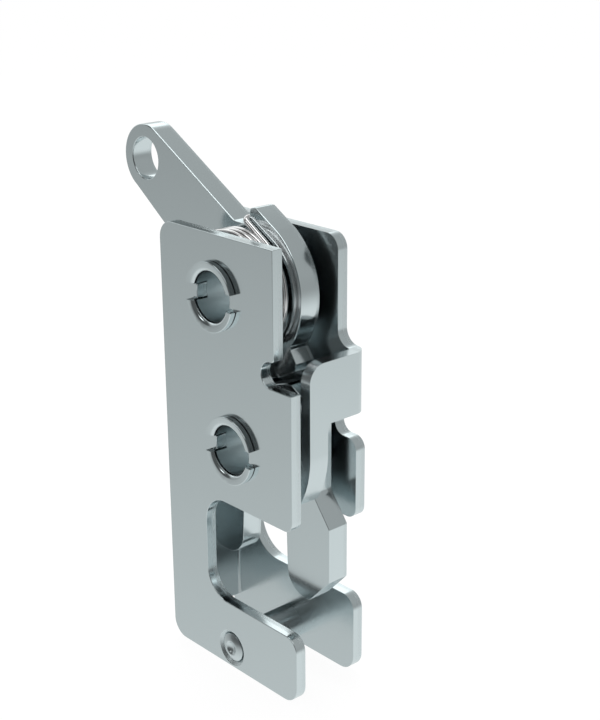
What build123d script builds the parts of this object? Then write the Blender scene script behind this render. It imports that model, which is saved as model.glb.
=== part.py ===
from build123d import *
import math
import os

os.makedirs("parts", exist_ok=True)

# Rotary latch: a two-plate steel housing with a claw on the lower hollow rivet and a trigger on the upper one.
# Millimetres. +X runs along the plates to the mouth, +Y from the near plate to the far plate, +Z up.
# The origin is on the axis of the lower hollow rivet, in the outer face of the near plate.

# Sheet and spacing
plate_t = 2.0
plate_gap = 11.5
lever_t = 4.0
collar_t = 2.0
seat_gap = 0.1
lap = 0.5

# Pivots
upper_x = -3.9
upper_z = 25.0
foot_x = -1.44
foot_z = -37.25

# Outline shared by both plates
left_x = -17.44
top_z = 35.15
upper_right_x = 10.46
bottom_corner_r = 3.0

# Near plate
near_bottom_z = -40.85
near_top_left_r = 3.0
step_x = 14.36
step_z = 13.0
relief_r = 2.2
relief_x = 9.61
relief_blend_r = 0.6
mouth_left_x = -7.39
mouth_top_z = -10.1
mouth_bottom_z = -28.85
mouth_r = 5.0
mouth_lip_r = 1.9
near_arm_x = 15.16
near_arm_r = 2.5

# Far plate
far_bottom_z = -40.55
far_top_right_r = 2.5
far_top_left_r = 3.0
far_mouth_left_x = -10.94
far_mouth_bottom_z = -26.35
far_mouth_r = 6.2
far_arm_x = 14.46
far_arm_r = 2.5
hook_top_z = 2.25
hook_x = 14.76
hook_bottom_z = -11.75
hook_r = 2.0
hook_root_x = 9.86
hook_root_r = 2.0
neck_r = 2.6

# Tab bent from the far plate towards the near plate, with the tongue that runs down from it
tab_face_x = 15.26
tab_bend_r = 2.4
tab_top_z = 17.35
tab_bottom_z = 7.05
tab_edge_y = 3.1
tab_corner_r = 3.0
tongue_w = 3.8
tongue_bend_z = 2.15
tongue_tip_z = -6.35
tongue_bend_r = 16.3
tongue_root_r = 0.8

# Web bent from the far plate along its left edge
web_top_z = 8.15
web_bottom_z = -37.35
web_bend_r = 0.5
web_relief = 1.6

# Hollow rivets
bore_r = 4.1
journal_r = 6.0
tenon_r = 5.0
head_r = 5.75
head_t = 1.12
head_edge_r = 0.12
head_dish = 0.17
bore_lip_r = 0.8
collar_r = 8.0
key_w = 2.3
key_gap = 0.3
run_gap = 0.05

# Foot spacer pin
foot_body_r = 3.05
foot_tenon_r = 1.9
foot_sink_r = 3.2
foot_sink_depth = 1.1
foot_head_r = 2.5
foot_head_sink = 0.1
foot_dimple_r = 1.6
foot_dimple_depth = 0.4
foot_far_head_r = 3.0
foot_far_head_t = 0.8
foot_far_edge_r = 0.4

# Trigger
lever_end_x = -30.94
lever_end_z = 42.15
lever_end_r = 5.8
lever_hole_r = 3.6
lever_angle = -29.9
trigger_hub_r = 8.4
trigger_rim_r = 12.42
lever_low_offset = 7.7
notch_wall_shift = 0.36
notch_r = 0.9
notch_clear = 0.507
tooth_rise = 0.8
tooth_top_r = 0.8
catch_shoulder_x = 5.81
catch_shoulder_z = 16.65
catch_toe_x = 7.21
catch_toe_z = 14.55
catch_face_x = 7.01
catch_face_z = 13.35
heel_x = 2.86
heel_z = 11.2
heel_root_angle = -73.0

# Claw
claw_hub_r = 9.3
claw_flank_x = 11.16
claw_nose_x = 5.96
claw_nose_z = 10.85
claw_nose_w = 0.9
claw_nose_r = 0.45
claw_nose_face_r = 0.6
claw_shoulder_z = 8.05
claw_shoulder_r = 2.5
claw_waist_z = -6.75
claw_waist_r = 1.6
finger_x = 14.86
finger_top_z = -11.55
finger_top_r = 0.6
finger_low_z = -21.15
finger_low_r = 0.8
finger_tip_z = -26.15
finger_tip_right_x = 10.16
finger_tip_r = 1.5
finger_inner_x = 4.86
finger_inner_r = 4.2
slot_left_x = -6.49
slot_right_x = 4.56
slot_floor_z = -9.85
rear_inner_x = -7.04
rear_tip_z = -24.65
rear_tip_r = 4.2
rear_outer_x = -14.84
rear_outer_r = 2.2
rear_back_z = -11.85
rear_back_r = 4.0
rear_root_angle = 172.0

# Springs
wire_r = 0.5
wire_side_gap = 0.1
hook_bend_r = 0.9
hook_end_gap = 0.4
trigger_coil_inset = 2.7
trigger_coil_turns = 3
trigger_coil_pitch = 1.107
trigger_leg_past = 3.5
claw_coil_r = 7.6
claw_coil_turns = 2
claw_coil_pitch = 1.3
claw_peg_r = 8.6
claw_peg_angle = -28.0
claw_peg_depth = 2.6
wire_hole_r = 0.65
anchor_z = -8.0

# Levels along Y, from the values above
near_in = plate_t
far_in = plate_t + plate_gap
far_out = far_in + plate_t
lever_far = far_in - collar_t
lever_near = lever_far - lever_t
upper = (upper_x, upper_z)
wire_y = lever_near - wire_side_gap - wire_r
trigger_coil_r = trigger_rim_r - trigger_coil_inset

# Claw spring levels: its coil climbs from the leg in the web to the leg in the claw
claw_rise = claw_coil_pitch / (2 * math.pi * claw_coil_r)
peg_run = math.sqrt(claw_peg_r**2 - claw_coil_r**2)
peg_touch_angle = claw_peg_angle - math.degrees(math.acos(claw_coil_r / claw_peg_r))
anchor_span = math.hypot(left_x, anchor_z)
anchor_lean = math.degrees(math.atan2(anchor_z, left_x))
anchor_angle = anchor_lean + math.degrees(math.acos(claw_coil_r / anchor_span))
anchor_run = math.sqrt(anchor_span**2 - claw_coil_r**2)
claw_sweep = peg_touch_angle - anchor_angle + 360 * claw_coil_turns
claw_far_y = wire_y - peg_run * claw_rise
claw_near_y = claw_far_y - claw_coil_pitch * claw_sweep / 360
anchor_y = claw_near_y - claw_rise * (anchor_run - plate_t / 2)


def layer(y):
    """Sketch plane at depth y that faces the viewer, with its x to the right and its y upwards."""
    return Plane.XZ.offset(-y)


def polar(centre, radius, degrees):
    """Point at a radius and an angle about a centre."""
    a = math.radians(degrees)
    return (centre[0] + radius * math.cos(a), centre[1] + radius * math.sin(a))


# Near plate: one flat blank with the step, its relief, the mouth and the keyed rivet holes
relief_z = step_z + relief_r
near_points = [
    (left_x, near_bottom_z),
    (near_arm_x, near_bottom_z),
    (near_arm_x, mouth_bottom_z),
    (mouth_left_x, mouth_bottom_z),
    (mouth_left_x, mouth_top_z),
    (step_x, mouth_top_z),
    (step_x, step_z),
    (upper_right_x, step_z),
    (upper_right_x, top_z),
    (left_x, top_z),
]
near_radii = [bottom_corner_r, bottom_corner_r, near_arm_r, mouth_r, mouth_r, mouth_lip_r, 0, 0, 0, near_top_left_r]

with BuildPart() as near_plate:
    with BuildSketch(layer(plate_t)):
        with BuildLine():
            FilletPolyline(*near_points, radius=near_radii, close=True)
        make_face()
        with Locations((relief_x, relief_z)):
            Circle(relief_r, mode=Mode.SUBTRACT)
            Rectangle(step_x - relief_x, relief_r, align=(Align.MIN, Align.MAX), mode=Mode.SUBTRACT)
        with Locations((0, 0), upper):
            Circle(tenon_r + seat_gap / 2, mode=Mode.SUBTRACT)
            Rectangle(2 * (tenon_r + seat_gap), key_w)
            Circle(bore_r, mode=Mode.SUBTRACT)
        with Locations((foot_x, foot_z)):
            Circle(foot_tenon_r, mode=Mode.SUBTRACT)
    extrude(amount=plate_t)
    blend = near_plate.edges().filter_by(Axis.Y).sort_by_distance((upper_right_x, plate_t / 2, relief_z + relief_r))
    fillet(blend[0], radius=relief_blend_r)
    with BuildSketch(layer(0)):
        with Locations((foot_x, foot_z)):
            Circle(foot_sink_r)
    sink_angle = math.degrees(math.atan((foot_sink_r - foot_tenon_r) / foot_sink_depth))
    extrude(amount=-foot_sink_depth, taper=sink_angle, mode=Mode.SUBTRACT)
near_plate.part.label = "near_plate"
export_step(near_plate.part, "parts/near_plate.step")

# Far plate: one folded blank, with the web along the left edge and the tab and tongue on the right
tab_in_x = tab_face_x - plate_t
tab_root_x = tab_face_x - tab_bend_r
far_points = [
    (left_x, far_bottom_z),
    (far_arm_x, far_bottom_z),
    (far_arm_x, far_mouth_bottom_z),
    (far_mouth_left_x, far_mouth_bottom_z),
    (far_mouth_left_x, hook_bottom_z),
    (hook_x, hook_bottom_z),
    (hook_x, hook_top_z),
    (hook_root_x, hook_top_z),
    (hook_root_x, tab_bottom_z),
    (tab_root_x, tab_bottom_z),
    (tab_root_x, tab_top_z),
    (upper_right_x, tab_top_z),
    (upper_right_x, top_z),
    (left_x, top_z),
]
far_radii = [
    bottom_corner_r, bottom_corner_r, far_arm_r, far_mouth_r, far_mouth_r, hook_r, hook_r,
    hook_root_r, hook_root_r, 0, 0, 0, far_top_right_r, far_top_left_r,
]
tab_run = [
    (tab_root_x - lap, far_out),
    (tab_face_x, far_out),
    (tab_face_x, tab_edge_y),
    (tab_in_x, tab_edge_y),
    (tab_in_x, far_in),
    (tab_root_x - lap, far_in),
]
web_in_x = left_x + plate_t
web_root_x = web_in_x + web_bend_r
web_run = [
    (web_root_x + lap, far_out),
    (left_x, far_out),
    (left_x, near_in),
    (web_in_x, near_in),
    (web_in_x, far_in),
    (web_root_x + lap, far_in),
]

with BuildPart() as far_plate:
    with BuildSketch(layer(far_out)):
        with BuildLine():
            FilletPolyline(*far_points, radius=far_radii, close=True)
        make_face()
        with Locations((0, 0), upper):
            Circle(tenon_r + seat_gap / 2, mode=Mode.SUBTRACT)
        with Locations((foot_x, foot_z)):
            Circle(foot_tenon_r, mode=Mode.SUBTRACT)
        web_mid_z = (web_top_z + web_relief + web_bottom_z) / 2
        with Locations((left_x, web_mid_z)):
            Rectangle(
                2 * (plate_t + web_bend_r), web_top_z + web_relief - web_bottom_z, mode=Mode.SUBTRACT
            )
    extrude(amount=plate_t)
    with BuildSketch(Plane.XY.offset(web_bottom_z)):
        with BuildLine():
            FilletPolyline(
                *web_run, radius=[0, web_bend_r + plate_t, 0, 0, web_bend_r, 0], close=True
            )
        make_face()
    extrude(amount=web_top_z - web_bottom_z)
    with BuildSketch(Plane.YZ.offset(left_x)):
        with Locations((anchor_y, anchor_z)):
            Circle(wire_hole_r)
    extrude(amount=plate_t, mode=Mode.SUBTRACT)
    with BuildSketch(Plane.XY.offset(tab_bottom_z)):
        with BuildLine():
            FilletPolyline(
                *tab_run, radius=[0, tab_bend_r, 0, 0, tab_bend_r - plate_t, 0], close=True
            )
        make_face()
    extrude(amount=tab_top_z - tab_bottom_z)
    corner = far_plate.edges().filter_by(Axis.X).sort_by_distance((tab_in_x, tab_edge_y, tab_top_z))
    fillet(corner[0], radius=tab_corner_r)
    tongue_y = (tab_edge_y, tab_edge_y + tongue_w)
    with BuildSketch(layer(tongue_y[1])):
        with BuildLine():
            outer = Line((tab_face_x, tab_bottom_z), (tab_face_x, tongue_bend_z))
            drop = math.degrees(math.asin((tongue_bend_z - tongue_tip_z) / tongue_bend_r))
            outer_arc = CenterArc((tab_face_x - tongue_bend_r, tongue_bend_z), tongue_bend_r, 0, -drop)
            inner_r = tongue_bend_r - plate_t
            inner_arc = CenterArc((tab_face_x - tongue_bend_r, tongue_bend_z), inner_r, 0, -drop)
            Line(outer_arc @ 1, inner_arc @ 1)
            inner = Line(inner_arc @ 0, (tab_in_x, tab_bottom_z))
            Line(inner @ 1, outer @ 0)
        make_face()
    extrude(amount=tongue_w)
    root = far_plate.edges().filter_by(Axis.X).sort_by_distance((tab_in_x, tongue_y[1], tab_bottom_z))
    fillet(root[0], radius=tongue_root_r)
    neck = far_plate.edges().filter_by(Axis.Y).sort_by_distance((upper_right_x, far_in, tab_top_z))
    fillet(neck[0], radius=neck_r)
far_plate.part.label = "far_plate"
export_step(far_plate.part, "parts/far_plate.step")

# Hollow rivets: journal and collar between the plates, flared heads outside them, the near one slotted
rivet_profile = [
    (bore_r, head_dish - head_t),
    (head_r, -head_t),
    (head_r, 0),
    (tenon_r, 0),
    (tenon_r, near_in),
    (journal_r, near_in),
    (journal_r, lever_far),
    (collar_r, lever_far),
    (collar_r, far_in),
    (tenon_r, far_in),
    (tenon_r, far_out),
    (head_r, far_out),
    (head_r, far_out + head_t),
    (bore_r, far_out + head_t - head_dish),
]
head_radii = [bore_lip_r, head_edge_r]
rivet_radii = head_radii + [0] * (len(rivet_profile) - 2 * len(head_radii)) + head_radii[::-1]

with BuildPart() as lower_rivet:
    with BuildSketch(Plane.XY):
        with BuildLine():
            FilletPolyline(*rivet_profile, radius=rivet_radii, close=True)
        make_face()
    revolve(axis=Axis.Y)
    with BuildSketch(layer(near_in)):
        Rectangle(2 * (head_r + lap), key_w + 2 * key_gap)
    extrude(amount=near_in + head_t, mode=Mode.SUBTRACT)
lower_rivet.part.label = "lower_rivet"
export_step(lower_rivet.part, "parts/lower_rivet.step")

with BuildPart() as upper_rivet:
    with Locations((upper_x, 0, upper_z)):
        add(lower_rivet.part)
upper_rivet.part.label = "upper_rivet"
export_step(upper_rivet.part, "parts/upper_rivet.step")

# Foot spacer pin: a thick body between the plates, its near end peened to a dimpled dome in the countersink
foot_rim_y = foot_sink_depth * (foot_sink_r - foot_head_r) / (foot_sink_r - foot_tenon_r)
foot_rise = foot_rim_y - foot_head_sink
foot_dome_r = (foot_head_r**2 + foot_rise**2) / (2 * foot_rise)
foot_dome_angle = math.degrees(math.asin(foot_head_r / foot_dome_r))
foot_profile = [
    (foot_head_r, foot_rim_y),
    (foot_tenon_r, foot_sink_depth),
    (foot_tenon_r, near_in),
    (foot_body_r, near_in),
    (foot_body_r, far_in),
    (foot_tenon_r, far_in),
    (foot_tenon_r, far_out),
    (foot_far_head_r, far_out),
    (foot_far_head_r, far_out + foot_far_head_t),
    (0, far_out + foot_far_head_t),
]

with BuildPart() as foot_pin:
    with BuildSketch(Plane((foot_x, 0, foot_z))):
        with BuildLine():
            dome = CenterArc((0, foot_head_sink + foot_dome_r), foot_dome_r, -90, foot_dome_angle)
            shank = Polyline(*foot_profile)
            Line(shank @ 1, dome @ 0)
        make_face()
    revolve(axis=Axis((foot_x, 0, foot_z), (0, 1, 0)))
    rims = foot_pin.edges().filter_by(GeomType.CIRCLE).group_by(Axis.Y)
    fillet(rims[-1], radius=foot_far_edge_r)
    with Locations((foot_x, foot_head_sink + foot_dimple_depth - foot_dimple_r, foot_z)):
        Sphere(foot_dimple_r, mode=Mode.SUBTRACT)
foot_pin.part.label = "foot_pin"
export_step(foot_pin.part, "parts/foot_pin.step")

# Trigger: lever with its end hole, spring notch and tooth, round rim and the catch that holds the claw
slope = math.radians(lever_angle)
along = (math.cos(slope), math.sin(slope))
across = (-along[1], along[0])
notch_wall_x = upper_x + notch_wall_shift
hook_z = upper_z + (trigger_coil_r - (notch_wall_x - wire_r - seat_gap - upper_x) * across[0]) / across[1]
notch_floor_z = hook_z - wire_r - notch_clear
tooth_top_z = upper_z + trigger_rim_r + tooth_rise
top_start = (lever_end_x + lever_end_r * across[0], lever_end_z + lever_end_r * across[1])
top_run = (notch_floor_z - top_start[1]) / along[1]
top_end = (top_start[0] + top_run * along[0], notch_floor_z)
rim_touch = (upper_x + trigger_rim_r * across[0], upper_z + trigger_rim_r * across[1])
tooth_run = (tooth_top_z - rim_touch[1]) / along[1]
tooth_tip = (rim_touch[0] + tooth_run * along[0], tooth_top_z)
reach = math.hypot(lever_end_x - upper_x, lever_end_z - upper_z)
lean = math.degrees(math.atan2(lever_end_z - upper_z, lever_end_x - upper_x))
low_turn = math.degrees(math.asin((lever_low_offset - lever_end_r) / reach))
low_side = lean + 90 + low_turn
end_low = polar((lever_end_x, lever_end_z), lever_end_r, low_side)
hub_low = polar(upper, lever_low_offset, low_side)
rim_low_angle = -math.degrees(math.acos((catch_shoulder_x - upper_x) / trigger_rim_r))
rim_low = polar(upper, trigger_rim_r, rim_low_angle)
heel_root = polar(upper, trigger_hub_r, heel_root_angle)

with BuildPart() as trigger:
    with BuildSketch(layer(lever_far)):
        with BuildLine():
            FilletPolyline(
                upper, end_low, (lever_end_x, lever_end_z), top_start, top_end,
                (notch_wall_x, notch_floor_z), (notch_wall_x, tooth_top_z), tooth_tip, rim_touch,
                radius=[0, 0, 0, 0, notch_r, 0, tooth_top_r, 0, 0], close=True,
            )
        make_face()
        with BuildLine():
            Polyline(upper, hub_low, end_low, close=True)
        make_face()
        with Locations((lever_end_x, lever_end_z)):
            Circle(lever_end_r)
        with Locations(upper):
            Circle(trigger_hub_r)
        with BuildLine():
            rim = CenterArc(upper, trigger_rim_r, rim_low_angle, 90 + lever_angle - rim_low_angle)
            Line(rim @ 1, upper)
            Polyline(
                upper, heel_root, (heel_x, heel_z), (catch_face_x, catch_face_z),
                (catch_toe_x, catch_toe_z), (catch_shoulder_x, catch_shoulder_z), rim @ 0,
            )
        make_face()
        with Locations(upper):
            Circle(journal_r + run_gap, mode=Mode.SUBTRACT)
        with Locations((lever_end_x, lever_end_z)):
            Circle(lever_hole_r, mode=Mode.SUBTRACT)
    extrude(amount=lever_t)
trigger.part.label = "trigger"
export_step(trigger.part, "parts/trigger.step")

# Claw: hub, nose that the catch holds, outer finger across the mouth and rear finger behind the slot
slot_mid_x = (slot_left_x + slot_right_x) / 2
slot_r = (slot_right_x - slot_left_x) / 2
slot_mid_z = slot_floor_z - slot_r
peg = polar((0, 0), claw_peg_r, claw_peg_angle)
claw_points = [
    (0, 0),
    (0, claw_hub_r),
    (claw_nose_x - claw_nose_w, claw_nose_z),
    (claw_nose_x, claw_nose_z),
    (claw_flank_x, claw_shoulder_z),
    (claw_flank_x, claw_waist_z),
    (finger_x, finger_top_z),
    (finger_x, finger_low_z),
    (finger_tip_right_x, finger_tip_z),
    (finger_inner_x, finger_tip_z),
    (slot_right_x, slot_mid_z),
    (slot_left_x, slot_mid_z),
    (rear_inner_x, rear_tip_z),
    (rear_outer_x, rear_tip_z),
    (rear_outer_x, rear_back_z),
    polar((0, 0), claw_hub_r, rear_root_angle),
]
claw_radii = [
    0, 0, claw_nose_r, claw_nose_face_r, claw_shoulder_r, claw_waist_r, finger_top_r, finger_low_r,
    finger_tip_r, finger_inner_r, 0, 0, rear_tip_r, rear_outer_r, rear_back_r, 0,
]

with BuildPart() as claw:
    with BuildSketch(layer(lever_far)):
        with BuildLine():
            FilletPolyline(*claw_points, radius=claw_radii, close=True)
        make_face()
        Circle(claw_hub_r)
        with Locations((slot_mid_x, slot_mid_z)):
            Circle(slot_r, mode=Mode.SUBTRACT)
        Circle(journal_r + run_gap, mode=Mode.SUBTRACT)
        with Locations(peg):
            Circle(wire_hole_r, mode=Mode.SUBTRACT)
    extrude(amount=lever_t)
claw.part.label = "claw"
export_step(claw.part, "parts/claw.step")

# Springs: each coil ends in two straight legs that leave it along its tangents


def wound(start, radius, near_angle, sweep_angle, near_y, pitch):
    """Placed helix that climbs along +Y while it turns anticlockwise as seen by the viewer."""
    turns = sweep_angle / 360
    a = math.radians(near_angle)
    seat = Plane((start[0], near_y, start[1]), x_dir=(math.cos(a), 0, math.sin(a)), z_dir=(0, 1, 0))
    return seat * Helix(pitch, pitch * turns, radius, lefthand=True, mode=Mode.PRIVATE)


def heading(angle, radius, pitch):
    """Direction of a coil's wire at an angle, one unit long in the plane of the turn."""
    a = math.radians(angle)
    return Vector(-math.sin(a), pitch / (2 * math.pi * radius), math.cos(a))


# Trigger spring: one leg hooked over the notch against the tooth, the other against the lower journal
hook_angle = 90 + lever_angle
hook_dir = heading(hook_angle, trigger_coil_r, trigger_coil_pitch)
hook_touch = polar(upper, trigger_coil_r, hook_angle)
hook_run = (notch_wall_x - wire_r - seat_gap - hook_touch[0]) / hook_dir.X
hook_y = wire_y - hook_run * hook_dir.Y
leg_offset = trigger_coil_r + journal_r + wire_r + seat_gap
pivot_span = math.hypot(upper_x, upper_z)
down_angle = math.degrees(math.atan2(-upper_z, -upper_x))
leg_angle = down_angle - math.degrees(math.asin(leg_offset / pivot_span)) + 90
leg_run = math.sqrt(pivot_span**2 - leg_offset**2) + trigger_leg_past
leg_dir = heading(leg_angle, trigger_coil_r, trigger_coil_pitch)
trigger_sweep = hook_angle - leg_angle + 360 * trigger_coil_turns
trigger_near_y = hook_y - trigger_coil_pitch * trigger_sweep / 360
leg_touch = polar(upper, trigger_coil_r, leg_angle)
leg_start = Vector(leg_touch[0], trigger_near_y, leg_touch[1])
hook_start = Vector(hook_touch[0], hook_y, hook_touch[1])
hook_corner = hook_start + hook_dir * hook_run
hook_tip = Vector(hook_corner.X, lever_far - hook_end_gap, hook_corner.Z)

with BuildPart() as trigger_spring:
    with BuildLine():
        add(wound(upper, trigger_coil_r, leg_angle, trigger_sweep, trigger_near_y, trigger_coil_pitch))
    with BuildSketch(Plane(leg_start, z_dir=leg_dir)):
        Circle(wire_r)
    sweep(is_frenet=True)
    with BuildLine():
        FilletPolyline(hook_start, hook_corner, hook_tip, radius=hook_bend_r)
    with BuildSketch(Plane(hook_start, z_dir=hook_dir)):
        Circle(wire_r)
    sweep()
    with BuildSketch(Plane(leg_start, z_dir=leg_dir)):
        Circle(wire_r)
    extrude(amount=-leg_run * leg_dir.length)
trigger_spring.part.label = "trigger_spring"
export_step(trigger_spring.part, "parts/trigger_spring.step")

# Claw spring: one leg hooked into the claw, the other through a hole of the web
peg_dir = heading(peg_touch_angle, claw_coil_r, claw_coil_pitch)
peg_touch = polar((0, 0), claw_coil_r, peg_touch_angle)
peg_start = Vector(peg_touch[0], claw_far_y, peg_touch[1])
peg_corner = peg_start + peg_dir * peg_run
peg_tip = Vector(peg_corner.X, lever_near + claw_peg_depth, peg_corner.Z)
anchor_touch = polar((0, 0), claw_coil_r, anchor_angle)
anchor_start = Vector(anchor_touch[0], claw_near_y, anchor_touch[1])
anchor_dir = heading(anchor_angle, claw_coil_r, claw_coil_pitch)

with BuildPart() as claw_spring:
    with BuildLine():
        add(wound((0, 0), claw_coil_r, anchor_angle, claw_sweep, claw_near_y, claw_coil_pitch))
    with BuildSketch(Plane(anchor_start, z_dir=anchor_dir)):
        Circle(wire_r)
    sweep(is_frenet=True)
    with BuildLine():
        FilletPolyline(peg_start, peg_corner, peg_tip, radius=hook_bend_r)
    with BuildSketch(Plane(peg_start, z_dir=peg_dir)):
        Circle(wire_r)
    sweep()
    with BuildSketch(Plane(anchor_start, z_dir=anchor_dir)):
        Circle(wire_r)
    extrude(amount=-anchor_run * anchor_dir.length)
claw_spring.part.label = "claw_spring"
export_step(claw_spring.part, "parts/claw_spring.step")
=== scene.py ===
# %% [markdown]
# # A rotary latch of bright zinc plated steel
#
# The latch is a sandwich: a near plate and a folded far plate, held apart by two hollow rivets and
# a foot pin, with a claw and a trigger lever turning between them and a torsion spring for each.
# The exact solids come from the CAD model and stay where they are. This notebook gives them what
# makes a pressed steel part look real: edges that are not razor sharp, plating that mirrors a
# studio, wound wire that shines as wire does, and a riveted pin end.

# %% Load the fixed frame
import math

import bmesh
import bpy
import numpy as np
from mathutils import Matrix, Vector


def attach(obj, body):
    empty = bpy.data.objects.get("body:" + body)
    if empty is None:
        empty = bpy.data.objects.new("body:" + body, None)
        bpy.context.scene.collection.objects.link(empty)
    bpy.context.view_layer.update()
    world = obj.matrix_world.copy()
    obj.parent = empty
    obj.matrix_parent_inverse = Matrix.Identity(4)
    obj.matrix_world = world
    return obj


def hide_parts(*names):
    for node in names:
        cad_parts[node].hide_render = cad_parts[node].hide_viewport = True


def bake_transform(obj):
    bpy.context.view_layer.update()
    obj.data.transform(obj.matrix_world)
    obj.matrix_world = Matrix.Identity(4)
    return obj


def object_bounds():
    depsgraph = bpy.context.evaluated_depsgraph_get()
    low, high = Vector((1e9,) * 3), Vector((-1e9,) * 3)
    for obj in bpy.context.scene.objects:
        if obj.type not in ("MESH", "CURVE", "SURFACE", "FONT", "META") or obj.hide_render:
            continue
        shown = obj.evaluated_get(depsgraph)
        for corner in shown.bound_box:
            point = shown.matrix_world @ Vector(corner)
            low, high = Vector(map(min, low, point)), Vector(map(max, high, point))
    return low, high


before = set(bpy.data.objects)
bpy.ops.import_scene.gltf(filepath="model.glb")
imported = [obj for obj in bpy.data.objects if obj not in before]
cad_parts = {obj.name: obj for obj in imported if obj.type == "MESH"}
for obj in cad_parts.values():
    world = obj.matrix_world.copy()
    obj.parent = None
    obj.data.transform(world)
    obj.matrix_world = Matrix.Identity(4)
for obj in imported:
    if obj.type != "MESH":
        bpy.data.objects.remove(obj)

cad_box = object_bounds()
MM = 0.001
print("solids span", [round(float(b - a) / MM, 2) for a, b in zip(*cad_box)], "mm")

# %% [markdown]
# ## Measures shared by several pieces
#
# All lengths are millimetres in the frame of the solids: the origin is on the lower hollow rivet,
# +X runs to the mouth, +Y goes from the near plate to the far plate and +Z goes up. The levels
# along Y are the faces that the sheets and the levers share, and an axis along Y is given by its
# X and Z.

# %% Levels and axes
SHEET = 2.0                          # the near plate lies between 0 and this level
LEVER_NEAR, LEVER_FAR = 7.5, 11.5    # faces of the trigger and the claw
FAR_IN, FAR_OUT = 13.5, 15.5         # faces of the far plate
MIDDLE = FAR_OUT / 2
LOWER = np.array([0.0, 0.0])         # axes of the two rivets and of the foot pin
UPPER = np.array([-3.9, 25.0])
FOOT = np.array([-1.44, -37.25])
WIRE_R = 0.5
print("rivets are", round(math.hypot(*UPPER), 2), "mm apart, the plates", FAR_IN - SHEET, "mm")

# %% [markdown]
# ## Colour and node helpers
#
# A colour is written as the hex value one reads off a screen, and one function turns it into the
# linear light that the shader wants. A second function adds any node with its settings and links,
# so a material below reads as a list of what feeds what. The others are small pieces of reasoning
# that several finishes share: where masks overlap, a value to which several things add a share,
# and how far a point is from an axis.

# %% Colour and nodes
def linear(hex_code):
    """sRGB hex to linear RGBA: c/12.92 up to 0.04045, else ((c + 0.055)/1.055) to the power 2.4."""
    c = np.array([int(hex_code[i:i + 2], 16) for i in (1, 3, 5)]) / 255
    c = np.where(c <= 0.04045, c / 12.92, ((c + 0.055) / 1.055) ** 2.4)
    return (*c.tolist(), 1.0)


def put(tree, kind, feeds=None, **settings):
    """Adds a node, sets its properties, and fills each named or numbered input by value or link."""
    node = tree.nodes.new("ShaderNode" + kind)
    for key, value in settings.items():
        setattr(node, key, value)
    for key, value in (feeds or {}).items():
        if isinstance(value, bpy.types.NodeSocket):
            tree.links.new(value, node.inputs[key])
        else:
            node.inputs[key].default_value = value
    return node


def blank_material(name):
    """Empty node material with its output node."""
    material = bpy.data.materials.new(name)
    material.use_nodes = True
    material.node_tree.nodes.clear()
    return material, material.node_tree, put(material.node_tree, "OutputMaterial")


print("middle grey in linear light", round(linear("#808080")[0], 3))


# %% Masks and distances
def overlap(tree, *masks):
    """The product of masks, so 1 only where each of them is 1."""
    shared = masks[0]
    for mask in masks[1:]:
        shared = put(tree, "Math", {0: shared, 1: mask}, operation="MULTIPLY").outputs[0]
    return shared


def summed(tree, start, *shares):
    """A start value plus each mask times its gain."""
    total = start
    for mask, gain in shares:
        total = put(tree, "Math", {0: mask, 1: gain, 2: total}, operation="MULTIPLY_ADD").outputs[0]
    return total


def off_axis(tree, place, axis):
    """Distance from an axis along Y: the root of dx squared plus dz squared."""
    centre = (axis[0] * MM, 0.0, axis[1] * MM)
    offset = put(tree, "VectorMath", {0: place, 1: centre}, operation="SUBTRACT").outputs[0]
    flat = put(tree, "VectorMath", {0: offset, 1: (1.0, 0.0, 1.0)}, operation="MULTIPLY").outputs[0]
    return put(tree, "VectorMath", {0: flat}, operation="LENGTH").outputs["Value"]


# %% [markdown]
# ## Bright zinc plate on cold-rolled sheet
#
# Clear-passivated zinc is a thin electroplated coat. It is a cool white metal that mirrors the
# room, a little blurred by the grain of the rolled sheet below it. The eye reads three things: a
# faint unevenness of the gloss a few millimetres across, hairlines from handling, and the cut
# edges, where the punch first burnishes the steel and then tears it, so the last third of each
# edge is duller. An image texture could show all that, but it would have to be unwrapped on each
# piece. Patterns on Object coordinates need no unwrapping and keep their size in millimetres.
#
# The plates' inner faces are duller, because the barrel's polishing stones never reach them once
# the web is folded, and the web's inner face, the bottom of a deep pocket, gets painted shade. The
# countersink for the foot pin is drilled after the polishing, so it is duller as well, and the cut
# edges at the catch of trigger and claw get painted shade.

# %% Tones and grain of the zinc coat
ZINC = "#D5DDDF"
WHITE = "#FFFFFF"
PAINTED_SHADE = "#20262A"           # painted shade in creases, at the lever catch and in the web's pocket
CLOUD_MM = 7.0
HAIRLINE_MM = 0.35         # real hairlines are some 0.02 mm apart, drawn coarser so that they show
HAIRLINE_LENGTHS = 40      # how many of its own widths a hairline is long
GRIT_MM = 0.25             # grains of a torn edge
RAGGED_MM = 0.6            # how far the border of the torn part wanders
GLOSS_SWING = 0.05         # what clouds and hairlines each add to the roughness at most
TEAR_DULL = 0.12           # what the torn part adds
PLATE_TEAR = (1.2, 1.6)    # how deep in a plate's edge the tear begins, and where it is whole
LEVER_TEAR = (3.4, 3.8)    # the same in a lever's edge
CATCH = (1.5, 10.0)        # where the trigger's heel holds the claw's nose
SPOT_FULL, SPOT_GONE = 3.5, 5.0    # radii within which a spot is whole, and past which it is none
print("zinc in linear light", [round(c, 3) for c in linear(ZINC)[:3]])


# %% [markdown]
# Where the skin changes is read from a point's place and its normal, so nothing has to be painted.
# A sheet's flat sides have a normal along Y, and its cut edges one across Y.

# %% Parts of a pressed piece
EDGE_GONE, EDGE_FULL = 0.25, 0.05  # the normal's part along Y where an edge begins and is whole
SLOPE = 0.93                       # less than this along Y is a slope, as in a countersink
FACE = 0.05                        # margin with which the plates' inner faces count as inside
TURNED_AWAY = 0.5                  # the normal's part along X past which a face looks that way


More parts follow.
